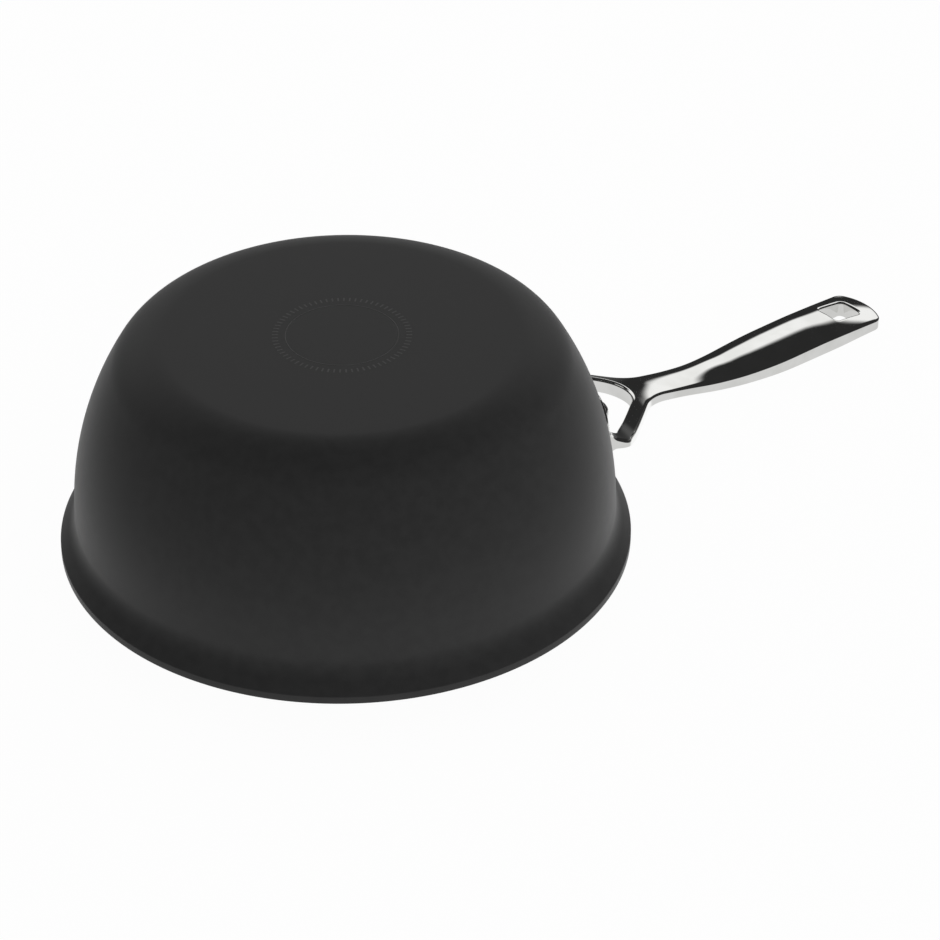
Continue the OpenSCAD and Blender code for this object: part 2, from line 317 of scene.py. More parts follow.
markLook = {
    "dark": (0.042, 0.042, 0.041),
    "light": (0.075, 0.075, 0.073),
    "toneReach": (0.35, 0.65),
    "roughLow": 0.5,
    "roughHigh": 0.65,
    "roughReach": (0.3, 0.7),
    "specks": (0.5 * mm, 3),
    "speckRelief": (0.01 * mm, 0.5),
}


def etchedMark(look):
    material, tree, shader = paintedTree("etchedMark")
    specks = grain(tree, place(tree), look["specks"])
    paint(tree, shader, look, specks, specks, relief(tree, specks, look["speckRelief"]))
    return material


finishes = {
    "hardCoat": hardCoat(hardCoatLook),
    "nonstick": nonstickCoat(nonstickLook),
    "polish": polishedSteel(polishLook),
    "rivet": turnedSteel(rivetLook),
    "plate": rolledSteel(plateLook),
    "mark": etchedMark(markLook),
}
print("finishes made:", len(finishes))


# Bowl and lining: one section each, turned round the axis

bowlSizes = {
    "rimRadius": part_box("pan_body")[1].y,
    "height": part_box("pan_body")[1].z,
    "baseRadius": 77 * mm,
    "shoulder": 27 * mm,
    "flareWidth": 7 * mm,
    "flareBend": 15 * mm,
    "flareSlope": math.radians(51),
    "rimLand": 0.95 * mm,
    "wall": 2.75 * mm,
    "base": 6 * mm,
    "innerShoulder": 22 * mm,
    "lining": 0.25 * mm,
    "rimRounding": 0.4 * mm,
    "lipRounding": 0.8 * mm,
    "liningRounding": 0.4 * mm / 3,
    "baseHollow": 0.15 * mm,
    "pitch": 1.1 * mm,
    "floorPitch": 4.4 * mm,
    "fewestSteps": 4,
    "rimSteps": 8,
    "segments": 256,
    "sharpAngle": math.radians(50),
}
neckRadius = bowlSizes["rimRadius"] - bowlSizes["flareWidth"]
lipHeight = ((bowlSizes["wall"] + bowlSizes["lining"]) / math.cos(bowlSizes["flareSlope"])
             - bowlSizes["rimLand"] * math.tan(bowlSizes["flareSlope"]))
coneRadius = neckRadius + bowlSizes["flareBend"] * (1 - math.sin(bowlSizes["flareSlope"]))
coneHeight = (bowlSizes["height"] - lipHeight
              - (bowlSizes["rimRadius"] - coneRadius) * math.tan(bowlSizes["flareSlope"]))
neckHeight = coneHeight - bowlSizes["flareBend"] * math.cos(bowlSizes["flareSlope"])
wallRun = neckRadius - bowlSizes["baseRadius"]
wallArc = ((wallRun ** 2 + (neckHeight - bowlSizes["shoulder"]) ** 2 - bowlSizes["shoulder"] ** 2)
           / (2 * (wallRun - bowlSizes["shoulder"])))
wallCentre = neckRadius - wallArc


def arcPoints(x, z, radius, start, end):  # angles are counted from straight down
    steps = max(bowlSizes["fewestSteps"], math.ceil(abs(radius * (end - start)) / bowlSizes["pitch"]))
    angles = [start + (end - start) * i / steps for i in range(steps + 1)]
    return [(x + radius * math.sin(a), z - radius * math.cos(a)) for a in angles]


def bowlSide(inset, floor, corner):  # from the floor's edge up to the end of the flare's bend
    reach = wallArc - inset - corner
    drop = neckHeight - floor - corner
    cornerX = wallCentre + math.sqrt(reach ** 2 - drop ** 2)
    lean = math.atan2(cornerX - wallCentre, drop)
    right = math.pi / 2
    bend = -(bowlSizes["flareBend"] + inset)
    return (arcPoints(cornerX, floor + corner, corner, 0, lean)
            + arcPoints(wallCentre, neckHeight, wallArc - inset, lean, right)[1:]
            + arcPoints(neckRadius + bowlSizes["flareBend"], neckHeight, bend, right,
                        bowlSizes["flareSlope"])[1:])


def toRim(point):  # where the flare's slope reaches the top of the rim
    rise = bowlSizes["height"] - point[1]
    return (point[0] + rise / math.tan(bowlSizes["flareSlope"]), bowlSizes["height"])


def floorLine(radius, height, hollow=0):  # from the axis out to the shoulder, hollowed a little
    steps = round(radius / bowlSizes["floorPitch"])
    shares = [i / steps for i in range(steps)]
    return [(radius * s, height + hollow * (1 - s ** 2)) for s in shares]


def bodySection():  # from the axis along the underside to the rim and back over the inside
    outer = bowlSide(0, 0, bowlSizes["shoulder"])
    lined = bowlSide(bowlSizes["wall"], bowlSizes["base"], bowlSizes["innerShoulder"])
    lower = (bowlSizes["rimRadius"], bowlSizes["height"] - lipHeight)
    upper = (bowlSizes["rimRadius"], bowlSizes["height"])
    rimEnd = toRim(lined[-1])
    return (floorLine(outer[0][0], 0, bowlSizes["baseHollow"]) + outer
            + rounded(outer[-1], lower, upper, bowlSizes["lipRounding"])
            + rounded(lower, upper, rimEnd, bowlSizes["rimRounding"], bowlSizes["rimSteps"])
            + [rimEnd] + lined[::-1] + floorLine(lined[0][0], bowlSizes["base"])[::-1])


def liningSection():  # lies on the bowl's inside
    lined = bowlSide(bowlSizes["wall"], bowlSizes["base"], bowlSizes["innerShoulder"])
    depth = bowlSizes["wall"] + bowlSizes["lining"]
    top = bowlSizes["base"] + bowlSizes["lining"]
    inner = bowlSide(depth, top, bowlSizes["innerShoulder"] - bowlSizes["lining"])
    outerEnd, innerEnd = toRim(lined[-1]), toRim(inner[-1])
    return (floorLine(lined[0][0], bowlSizes["base"]) + lined + [outerEnd]
            + rounded(outerEnd, innerEnd, inner[-1], bowlSizes["liningRounding"])
            + inner[::-1] + floorLine(inner[0][0], top)[::-1])


def latheTree():  # turns a profile round the Z axis and keeps its distance from the axis
    tree, given = startTree("latheTree", [
        ("Geometry", "Geometry"), ("Segments", "Int"), ("Weld", "Float"), ("Material", "Material")])
    size = put(tree, "GeometryNodeAttributeDomainSize", {0: given["Geometry"]}, component="MESH")
    count = size.outputs["Point Count"]
    columns = calc(tree, "ADD", given["Segments"], 1)
    sheet = put(tree, "GeometryNodeMeshGrid", {"Vertices X": columns, "Vertices Y": count})
    index = tree.nodes.new("GeometryNodeInputIndex").outputs[0]
    row = calc(tree, "MODULO", index, count)
    column = calc(tree, "FLOOR", calc(tree, "DIVIDE", index, count))
    spot = tree.nodes.new("GeometryNodeInputPosition").outputs[0]
    sample = put(tree, "GeometryNodeSampleIndex", {0: given["Geometry"], 1: spot, 2: row},
                 data_type="FLOAT_VECTOR", domain="POINT")
    parts = put(tree, "ShaderNodeSeparateXYZ", {0: sample.outputs[0]}).outputs
    angle = calc(tree, "MULTIPLY", calc(tree, "DIVIDE", column, given["Segments"]), turn)
    turned = put(tree, "ShaderNodeCombineXYZ", {
        0: calc(tree, "MULTIPLY", parts[0], calc(tree, "COSINE", angle)),
        1: calc(tree, "MULTIPLY", parts[0], calc(tree, "SINE", angle)),
        2: parts[2]})
    shell = put(tree, "GeometryNodeSetPosition", {"Geometry": sheet.outputs["Mesh"],
                                                  "Position": turned.outputs[0]})
    kept = put(tree, "GeometryNodeStoreNamedAttribute",
               {"Geometry": shell.outputs[0], "Name": "turnRadius", "Value": parts[0]},
               data_type="FLOAT", domain="POINT")
    closed = put(tree, "GeometryNodeMergeByDistance",
                 {"Geometry": kept.outputs[0], "Distance": given["Weld"]})
    smooth = put(tree, "GeometryNodeSetShadeSmooth", {"Geometry": closed.outputs[0]})
    return endTree(tree, smooth.outputs[0], given["Material"])


def faceOutwards(piece, sharpAngle):  # welded, with its faces outwards and smooth but for sharp edges
    shape = bmesh.new()
    shape.from_mesh(piece.data)
    bmesh.ops.remove_doubles(shape, verts=shape.verts, dist=weld)
    bmesh.ops.dissolve_degenerate(shape, dist=weld, edges=shape.edges)
    bmesh.ops.recalc_face_normals(shape, faces=shape.faces)
    shape.to_mesh(piece.data)
    shape.free()
    for face in piece.data.polygons:
        face.use_smooth = True
    piece.data.set_sharp_from_angle(angle=sharpAngle)
    return piece


def settle(piece, nodes):  # the piece stands in for the solids of these nodes
    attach(piece, "root")
    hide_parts(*nodes)
    piece.data.name = piece.name
    print(piece.name, "has", len(piece.data.polygons), "faces")


lathe = latheTree()
turning = {"Segments": bowlSizes["segments"], "Weld": weld}
bowl = runTree("bowlShell", chainMesh("bodySection", bodySection()), lathe,
               {**turning, "Material": finishes["hardCoat"]})
lining = runTree("bowlLining", chainMesh("liningSection", liningSection()), lathe,
                 {**turning, "Material": finishes["nonstick"]})
settle(faceOutwards(bowl, bowlSizes["sharpAngle"]), ["pan_body"])
settle(faceOutwards(lining, bowlSizes["sharpAngle"]), ["nonstick_lining"])


# Generic ring of ticks on the base

markSizes = {
    "ticks": 72,
    "radius": 29 * mm,
    "tickLength": 2.6 * mm,
    "tickWidth": 0.7 * mm,
    "tickDepth": 0.06 * mm,
    "ringRadius": 24.5 * mm,
    "ringWidth": 0.45 * mm,
    "ringSegments": 144,
}


def markTree():
    tree, given = startTree("markTree", [
        ("Geometry", "Geometry"), ("Ticks", "Int"), ("Radius", "Float"), ("Tick Size", "Vector"),
        ("Ring Radius", "Float"), ("Ring Section", "Float"), ("Ring Segments", "Int"),
        ("Height", "Float"), ("Material", "Material")])
    circle = put(tree, "GeometryNodeMeshCircle", {"Vertices": given["Ticks"], "Radius": given["Radius"]})
    tick = put(tree, "GeometryNodeMeshCube", {"Size": given["Tick Size"]})
    spot = tree.nodes.new("GeometryNodeInputPosition").outputs[0]
    facing = put(tree, "FunctionNodeAlignRotationToVector", {"Vector": spot}, axis="X")
    ticks = put(tree, "GeometryNodeInstanceOnPoints", {
        "Points": circle.outputs[0], "Instance": tick.outputs["Mesh"], "Rotation": facing.outputs[0]})
    loop = put(tree, "GeometryNodeCurvePrimitiveCircle",
               {"Resolution": given["Ring Segments"], "Radius": given["Ring Radius"]})
    section = put(tree, "GeometryNodeCurvePrimitiveQuadrilateral",
                  {"Width": given["Ring Section"], "Height": given["Ring Section"]})
    ring = put(tree, "GeometryNodeCurveToMesh", {0: loop.outputs[0], 1: section.outputs[0]})
    both = put(tree, "GeometryNodeJoinGeometry", {0: ticks.outputs[0]})
    tree.links.new(ring.outputs[0], both.inputs[0])
    shift = put(tree, "ShaderNodeCombineXYZ", {2: given["Height"]})
    placed = put(tree, "GeometryNodeTransform", {"Geometry": both.outputs[0],
                                                 "Translation": shift.outputs[0]})
    return endTree(tree, placed.outputs[0], given["Material"])


# The marks' lower faces stay inside the hollow of the base
markBed = bowlSizes["baseHollow"] * (1 - (markSizes["radius"] / bowlSizes["baseRadius"]) ** 2)
mark = runTree("baseMark", chainMesh("markSource", [(0, 0), (weld, 0)]), markTree(), {
    "Ticks": markSizes["ticks"],
    "Radius": markSizes["radius"],
    "Tick Size": (markSizes["tickLength"], markSizes["tickWidth"], markSizes["tickDepth"]),
    "Ring Radius": markSizes["ringRadius"],
    "Ring Section": markSizes["ringWidth"],
    "Ring Segments": markSizes["ringSegments"],
    "Height": markBed,
    "Material": finishes["mark"]})
for corner in mark.data.vertices:  # the ring is as flat as the ticks
    corner.co.z = markBed + math.copysign(markSizes["tickDepth"] / 2, corner.co.z - markBed)
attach(mark, "root")
print(mark.name, "has", len(mark.data.polygons), "faces")


# Rivets: one turned shape on two places of the wall

rivetSizes = {
    "gap": 82 * mm,
    "drop": 36 * mm,
    "shank": 3 * mm,
    "outerHead": 4.6 * mm,
    "outerHeight": 3 * mm,
    "innerHead": 6.5 * mm,
    "innerHeight": 2 * mm,
    "edgeShare": 0.25,
    "edgeRounding": 0.3 * mm,
    "domeSteps": 14,
    "segments": 64,
    "sharpAngle": math.radians(40),
}
plateThickness = 3 * mm
rivetSpread = math.asin(rivetSizes["gap"] / 2 / neckRadius)
rivetTilt = math.asin((neckHeight - bowlSizes["height"] + rivetSizes["drop"]) / wallArc)
innerSeat = (bowlSizes["wall"] + bowlSizes["lining"]
             + rivetSizes["innerHead"] ** 2 / (2 * (neckRadius - bowlSizes["wall"])))


def headSection(radius, height, seat, way):  # from the middle of the dome out and down to the seat
    edge = height * rivetSizes["edgeShare"]
    dome = height - edge
    curve = (radius ** 2 + dome ** 2) / (2 * dome)
    half = math.asin(radius / curve)
    steps = rivetSizes["domeSteps"]
    arc = [(curve * math.sin(half * i / steps), height - curve + curve * math.cos(half * i / steps))
           for i in range(steps + 1)]
    soft = arc[:-2] + rounded(arc[-3], arc[-1], (radius, 0), rivetSizes["edgeRounding"]) + [(radius, 0)]
    return [(x, seat + way * z) for x, z in soft]


def rivetSection():
    shank = rivetSizes["shank"]
    outer = headSection(rivetSizes["outerHead"], rivetSizes["outerHeight"], plateThickness, 1)
    inner = headSection(rivetSizes["innerHead"], rivetSizes["innerHeight"], -innerSeat, -1)
    return outer + [(shank, plateThickness), (shank, -innerSeat)] + inner[::-1]


def rivetTree(shaper):  # the shaper's turned rivet on two seats of the wall
    tree, given = startTree("rivetTree", [
        ("Geometry", "Geometry"), ("Segments", "Int"), ("Weld", "Float"), ("Spread", "Float"),
        ("Tilt", "Float"), ("Seat Radius", "Float"), ("Seat Height", "Float"), ("Material", "Material")])
    turned = put(tree, "GeometryNodeGroup", node_tree=shaper)
    for name in ("Geometry", "Segments", "Weld", "Material"):
        tree.links.new(given[name], turned.inputs[name])
    seats = put(tree, "GeometryNodeMeshLine", {"Count": 2})
    index = tree.nodes.new("GeometryNodeInputIndex").outputs[0]
    side = calc(tree, "MULTIPLY_ADD", index, 2, -1)  # -1 for the first seat and 1 for the second
    angle = calc(tree, "MULTIPLY", side, given["Spread"])
    spot = put(tree, "ShaderNodeCombineXYZ", {
        0: calc(tree, "MULTIPLY", given["Seat Radius"], calc(tree, "COSINE", angle)),
        1: calc(tree, "MULTIPLY", given["Seat Radius"], calc(tree, "SINE", angle)),
        2: given["Seat Height"]})
    seated = put(tree, "GeometryNodeSetPosition", {"Geometry": seats.outputs[0],
                                                   "Position": spot.outputs[0]})
    lean = put(tree, "ShaderNodeCombineXYZ", {1: calc(tree, "ADD", given["Tilt"], turn / 4), 2: angle})
    facing = put(tree, "FunctionNodeEulerToRotation", {0: lean.outputs[0]})
    placed = put(tree, "GeometryNodeInstanceOnPoints", {
        "Points": seated.outputs[0], "Instance": turned.outputs[0], "Rotation": facing.outputs[0]})
    return endTree(tree, placed.outputs[0], given["Material"])


rivets = runTree("rivetPair", chainMesh("rivetSection", rivetSection()), rivetTree(lathe), {
    "Segments": rivetSizes["segments"],
    "Weld": weld,
    "Spread": rivetSpread,
    "Tilt": rivetTilt,
    "Seat Radius": wallCentre + wallArc * math.cos(rivetTilt),
    "Seat Height": neckHeight - wallArc * math.sin(rivetTilt),
    "Material": finishes["rivet"]})
settle(faceOutwards(rivets, rivetSizes["sharpAngle"]), ["rivet_left", "rivet_right"])


# Handle: one casting with its fork and the bracket plate on the wall

handleSizes = {
    "length": 208 * mm,
    "rootDrop": 20.5 * mm,
    "rise": 31.5 * mm,
    "neckWidth": 18.6 * mm,
    "neckPlace": 71 * mm,
    "gripWidth": 30 * mm,
    "swellPlace": 146 * mm,
    "tipWidth": 30.2 * mm,
    "tipCurve": 25 * mm,
    "tipCorner": 6 * mm,
    "side": 7.6 * mm,
    "crown": 4.2 * mm,
    "topCrown": 1.95 * mm,
    "crownReach": 20 * mm,
    "edgeBlend": 6 * mm,
    "reachBlend": 3 * mm,
    "tipFade": 28 * mm,
    "forkWidth": 98 * mm,
    "crotchPlace": 46 * mm,
    "crotch": 15.5 * mm,
    "arm": 7.3 * mm,
    "foot": 6.6 * mm,
    "armAngle": math.radians(39),
    "neckBend": 28 * mm,
    "footBend": 12 * mm,
    "footInnerBend": 5 * mm,
    "holeLength": 17 * mm,
    "holeWidth": 13.8 * mm,
    "holeCorner": 2.5 * mm,
    "holeEnd": 10.5 * mm,
    "nearSplit": 4.5 * mm,
    "farSplit": 5 * mm,
    "edgeBand": 1.5 * mm,
    "windowBand": 1.5 * mm,
    "lowEdge": 1.4 * mm,
    "windowEdge": 2 * mm,
    "topEdge": 1 * mm,
    "rootFlare": 5.5 * mm,
    "flareAside": 0.25,
    "flareUp": 0.6,
    "rootSink": 0.3 * mm,
    "pitch": 0.65 * mm,
    "columns": 18,
    "edgeSteps": 7,
    "wallSteps": 5,
    "bendSteps": 24,
    "sharpAngle": math.radians(42),
}
# Share of the length, share of the rise, and steepness in shares
undersideShares = [(0, 0, 2.8), (0.048, 0.13, 3), (0.096, 0.27, 2.4), (0.154, 0.389, 1.85),
                   (0.231, 0.506, 1.45), (0.288, 0.588, 1.45), (0.385, 0.735, 1.5),
                   (0.462, 0.84, 1.05), (0.519, 0.885, 0.62), (0.6, 0.912, 0.2), (0.78, 0.93, 0.12),
                   (0.865, 0.953, 0.3), (1, 1, 0.35)]
# Share of the length, share of the side's full height or of the full crown
sideShares = [(0, 0.4), (0.1, 0.6), (0.25, 0.7), (0.38, 0.66), (0.8, 1), (1, 0.8)]
crownShares = [(0, 0.8), (0.15, 0.8), (0.3, 0.22), (0.54, 0.95), (0.8, 0.9), (1, 0.7)]
# Share of the length, share of the full rounding of the underside's edge
edgeShares = [(0, 1), (0.2, 1), (0.3, 0.75), (1, 0.75)]

handle = handleSizes  # short for the many uses below
tipX = neckRadius + handle["length"]
crotchX = neckRadius + handle["crotchPlace"] - handle["crotch"]
footY = handle["forkWidth"] / 2
holeX = tipX - handle["holeEnd"] - handle["holeLength"] / 2


def rowAt(table, share):  # the two rows of a table on either side of a share
    row = 0
    while row < len(table) - 2 and share >= table[row + 1][0]:
        row += 1
    return table[row], table[row + 1]


def eased(table, share):  # a table's value, level at each of its rows
    a, b = rowAt(table, share)
    u = min(1, max(0, (share - a[0]) / (b[0] - a[0])))
    return a[1] + (b[1] - a[1]) * (1 - math.cos(math.pi * u)) / 2


def bent(table, share):  # a table's value, with the steepness that each row gives
    a, b = rowAt(table, share)
    run = b[0] - a[0]
    u = (share - a[0]) / run
    v = 1 - u
    return (a[1] * (1 + 2 * u) * v ** 2 + a[2] * run * u * v ** 2
            + b[1] * (3 - 2 * u) * u ** 2 - b[2] * run * v * u ** 2)


def gripHalf(x):  # half the width of the neck and the grip
    widths = [(handle["neckPlace"], handle["neckWidth"] / 2),
              (handle["swellPlace"], handle["gripWidth"] / 2),
              (handle["length"], handle["tipWidth"] / 2)]
    return eased(widths, x - neckRadius)


def softMax(a, b, blend):  # the larger of two values, with a soft passage where they cross
    return (a + b + math.hypot(a - b, blend)) / 2


def softMin(a, b, blend):
    return (a + b - math.hypot(a - b, blend)) / 2


def edgeHalf(x):  # half the width over the fork's arms or the grip
    reach = handle["crotch"] + handle["arm"] - (x - crotchX) * math.sin(handle["armAngle"])
    return softMax(reach / math.cos(handle["armAngle"]), gripHalf(x), handle["edgeBlend"])


def domed(depth, reach):  # rises from 0 at an edge to 1 at the reach, where it is level
    return 1 - (1 - min(1, max(0, depth / reach))) ** 2


def crownAt(x, y):  # share of the full crown of the underside and the top
    edge = edgeHalf(x)
    return (eased(crownShares, (x - neckRadius) / handle["length"])
            * domed(edge - abs(y), softMin(edge, handle["crownReach"], handle["reachBlend"]))
            * domed(tipX - x - y ** 2 / (2 * handle["tipCurve"]), handle["tipFade"]))


def handleHeights(x, y):  # underside and top of the casting at a place in plan
    share = (x - neckRadius) / handle["length"]
    edge = bowlSizes["height"] - handle["rootDrop"] + handle["rise"] * bent(undersideShares, share)
    crown = crownAt(x, y)
    low = edge - handle["crown"] * crown
    return low, edge + handle["side"] * eased(sideShares, share) + handle["topCrown"] * crown


def bendCentre(off, y):  # centre of a bend that runs beside the arm's line at a distance off it
    slope = handle["armAngle"]
    t = (y - off * math.cos(slope)) / math.sin(slope)
    return crotchX + off * math.sin(slope) - t * math.cos(slope), y


def bendPath(centre, radius, start, end):  # angles are counted from straight aside
    steps = handle["bendSteps"]
    angles = [start + (end - start) * i / steps for i in range(steps + 1)]
    return [(centre[0] + radius * math.sin(a), centre[1] + radius * math.cos(a)) for a in angles]


def pathLength(path):
    return sum(math.dist(a, b) for a, b in zip(path, path[1:]))


def spaced(path, count):  # the path again, as count + 1 points at equal distances
    total = pathLength(path)
    found, walked, step = [path[0]], 0, 0
    for i in range(1, count):
        target = total * i / count
        while walked + math.dist(path[step], path[step + 1]) < target:
            walked += math.dist(path[step], path[step + 1])
            step += 1
        u = (target - walked) / math.dist(path[step], path[step + 1])
        found.append(tuple(a + (b - a) * u for a, b in zip(path[step], path[step + 1])))
    return found + [path[-1]]


def sideways(path, way):  # unit normals of a path, to its left for way = 1
    normals = []
    for i in range(len(path)):
        a, b = path[max(0, i - 1)], path[min(len(path) - 1, i + 1)]
        length = math.dist(a, b)
        normals.append((-way * (b[1] - a[1]) / length, way * (b[0] - a[0]) / length))
    return normals


def gripPath(start, end):  # the outline along the grip
    steps = math.ceil((end - start) / handle["pitch"])
    xs = [start + (end - start) * i / steps for i in range(steps + 1)]
    return [(x, gripHalf(x)) for x in xs]


def planStretches():  # matching stretches of the inner and the outer outline, from the foot to the tip
    slope, right = handle["armAngle"], math.pi / 2
    innerR, footR, neckR = handle["footInnerBend"], handle["footBend"], handle["neckBend"]
    band, r = handle["edgeBand"], handle["holeCorner"]
    innerY, rootR = footY - handle["foot"], neckRadius - handle["rootSink"]
    innerBend = bendPath(bendCentre(handle["crotch"] - innerR, innerY - innerR), innerR, 0, slope)
    armEdge = handle["crotch"] + handle["arm"]
    outerBend = bendPath(bendCentre(armEdge - footR, footY - footR), footR, 0, slope)
    neckBend = bendPath(bendCentre(armEdge + neckR, handle["neckWidth"] / 2 + neckR), -neckR, slope, 0)
    crotchBend = bendPath((crotchX, 0), handle["crotch"], slope, right)
    cornerY = handle["tipWidth"] / 2 - handle["tipCorner"]
    tipC = tipX - handle["tipCurve"]
    cornerX = tipC + math.sqrt((handle["tipCurve"] - handle["tipCorner"]) ** 2 - cornerY ** 2)
    cornerTurn = math.atan2(cornerX - tipC, cornerY)
    tipPath = (bendPath((cornerX, cornerY), handle["tipCorner"], 0, cornerTurn)
               + bendPath((tipC, 0), handle["tipCurve"], cornerTurn, right)[1:])
    holeNear, holeFar = holeX - handle["holeLength"] / 2, holeX + handle["holeLength"] / 2
    cornerTop = handle["holeWidth"] / 2 - r
    nearBend = bendPath((holeNear + r, cornerTop), r, -right, 0)
    farBend = bendPath((holeFar - r, cornerTop), r, 0, right)
    nearX, farX = holeNear - handle["nearSplit"], holeFar - handle["farSplit"]
    return [
        ("window", [(math.sqrt(rootR ** 2 - innerY ** 2), innerY)] + innerBend,
         [(math.sqrt(rootR ** 2 - footY ** 2), footY)] + outerBend),
        ("window", [innerBend[-1], crotchBend[0]], [outerBend[-1], neckBend[0]]),
        ("window", crotchBend, neckBend),
        ("axis", [(crotchX + handle["crotch"] + handle["windowBand"], 0), (nearX, 0)],
         [neckBend[-1]] + gripPath(max(neckBend[-1][0], neckRadius + handle["neckPlace"]), nearX)),
        ("axis", [(nearX, 0), (holeNear - band, 0)], gripPath(nearX, holeNear - band / 2)),
        ("hole", [(holeNear, 0)] + nearBend, gripPath(holeNear - band / 2, holeNear + r)),
        ("hole", [nearBend[-1], farBend[0]], gripPath(holeNear + r, farX)),
        ("hole", farBend + [(holeFar, 0)], gripPath(farX, cornerX) + tipPath[1:]),
    ]


def planChains():  # stations of the window, the axis, the hole and the outer edge
    chains = {"window": [], "axis": [], "hole": [], "outer": []}
    for kind, inner, outer in planStretches():
        count = math.ceil(max(pathLength(inner), pathLength(outer)) / handle["pitch"])
        for name, path in ((kind, inner), ("outer", outer)):
            points = spaced(path, count)
            chains[name] += points[1:] if chains[name] else points
    return chains


def edgeBands(chain, way, band, fall=1):  # rows that curve over from a wall to the casting's flat
    normals = sideways(chain, way)
    normals = [(math.copysign(1, n[0]), 0) if abs(p[1]) < weld else n for p, n in zip(chain, normals)]
    rows = []
    for k in range(handle["edgeSteps"] + 1):
        angle = math.pi / 2 * k / handle["edgeSteps"]
        depth, drop = band * (1 - math.cos(angle)), (1 - math.sin(angle)) * fall
        rows.append([(p[0] + n[0] * depth, p[1] + n[1] * depth, drop) for p, n in zip(chain, normals)])
    return rows


def wallRadius(z):  # outer face of the bowl beside the handle
    if z <= neckHeight:
        return wallCentre + math.sqrt(wallArc ** 2 - (neckHeight - z) ** 2)
    bend = bowlSizes["flareBend"]
    rise = min(z - neckHeight, bend * math.cos(bowlSizes["flareSlope"]))
    return neckRadius + bend - math.sqrt(bend ** 2 - rise ** 2)


def flared(x, y, z, middle, half):  # the feet grow where they meet the bracket plate
    if x > crotchX:
        return x, y, z
    gap = math.hypot(x, y) - wallRadius(z) - plateThickness
    share = 1 - min(1, max(0, gap / handle["rootFlare"]))
    grown = handle["rootFlare"] * share ** 2
    footMiddle = footY - handle["foot"] / 2
    return (x, footMiddle + (y - footMiddle) * (1 + handle["flareAside"] * grown / (handle["foot"] / 2)),
            middle + (z - middle) * (1 + handle["flareUp"] * grown / half))


def castingPoint(x, y, drop, level):  # level 0 is the underside and 1 the top
    low, top = handleHeights(x, y)
    middle, half = (low + top) / 2, (top - low) / 2
    low += handle["lowEdge"] * eased(edgeShares, (x - neckRadius) / handle["length"]) * drop
    top -= handle["topEdge"] * drop
    return flared(x, y, low + (top - low) * level, middle, half)


def addSheet(shape, rows):  # quads between rows of points
    grid = [[shape.verts.new(p) for p in row] for row in rows]
    for a, b in zip(grid, grid[1:]):
        for i in range(len(a) - 1):
            shape.faces.new((a[i], a[i + 1], b[i + 1], b[i]))


def castingRows(sheet, level, side):  # the rows of a sheet on the casting's near or far half
    rows = [[castingPoint(*p, level) for p in row] for row in sheet]
    return [[(x, side * y, z) for x, y, z in row] for row in rows]


def castingMesh():
    chains = planChains()
    windowFall = handle["windowEdge"] / handle["lowEdge"]
    window = edgeBands(chains["window"], 1, handle["windowBand"], windowFall)
    hole = edgeBands(chains["hole"], 1, handle["edgeBand"])
    outer = edgeBands(chains["outer"], -1, handle["edgeBand"])
    inner = window[-1] + [(x, y, 0) for x, y in chains["axis"][1:]] + hole[-1][1:]
    steps = handle["columns"]
    field = [[tuple(a + (b - a) * j / steps for a, b in zip(p, q)) for p, q in zip(inner, outer[-1])]
             for j in range(steps + 1)]
    levels = [i / handle["wallSteps"] for i in range(handle["wallSteps"] + 1)]
    shape = bmesh.new()
    for side in (1, -1):
        for sheet in (window, hole, outer, field):
            for level in (0, 1):
                addSheet(shape, castingRows(sheet, level, side))
        for edge in (window[0], hole[0], outer[0]):
            addSheet(shape, [castingRows([edge], level, side)[0] for level in levels])
    bmesh.ops.remove_doubles(shape, verts=shape.verts, dist=weld)
    openEdges = [e for e in shape.edges if e.is_boundary]
    bmesh.ops.holes_fill(shape, edges=openEdges, sides=0)
    return finishedMesh("castingBody", shape)


def finishedMesh(name, shape):
    bmesh.ops.recalc_face_normals(shape, faces=shape.faces)
    mesh = bpy.data.meshes.new(name)
    shape.to_mesh(mesh)
    shape.free()
    return mesh


plateSizes = {
    "thickness": plateThickness,
    "width": 104 * mm,
    "height": 28 * mm,
    "corner": 11 * mm,
    "edge": 1.2 * mm,
    "sink": 0.15 * mm,
    "rings": 16,
    "backRings": 2,
    "cornerSteps": 12,
    "pitch": 2 * mm,
}


def plateOutline(inset):  # a rounded rectangle in the plate's own plane
    r = plateSizes["corner"] - inset
    halfY = plateSizes["width"] / 2 - plateSizes["corner"]
    halfZ = plateSizes["height"] / 2 - plateSizes["corner"]
    centres = [(halfY, halfZ), (-halfY, halfZ), (-halfY, -halfZ), (halfY, -halfZ)]
    points = []
    for quarter, (y, z) in enumerate(centres):
        for i in range(plateSizes["cornerSteps"] + 1):
            angle = math.pi / 2 * (quarter + i / plateSizes["cornerSteps"])
            points.append((y + r * math.cos(angle), z + r * math.sin(angle)))
        nextY, nextZ = centres[(quarter + 1) % len(centres)]
        start, end = points[-1], (nextY + r * math.cos(angle), nextZ + r * math.sin(angle))
        steps = math.ceil(math.dist(start, end) / plateSizes["pitch"])
        points += [tuple(a + (b - a) * i / steps for a, b in zip(start, end)) for i in range(1, steps)]
    return points


def onWall(y, z, lift):  # a place on the bowl's wall, lifted off it
    level = neckHeight - plateSizes["height"] / 2 + z
    lean = math.asin((neckHeight - level) / wallArc)
    radius = wallCentre + (wallArc + lift) * math.cos(lean)
    return math.sqrt(radius ** 2 - y ** 2), y, neckHeight - (wallArc + lift) * math.sin(lean)


def closedIn(outline, share, lift):  # an outline drawn in towards the plate's middle line
    spine = plateSizes["width"] / 2 - plateSizes["height"] / 2
    return [onWall(y + (min(spine, max(-spine, y)) - y) * share, z * (1 - share), lift)
            for y, z in outline]


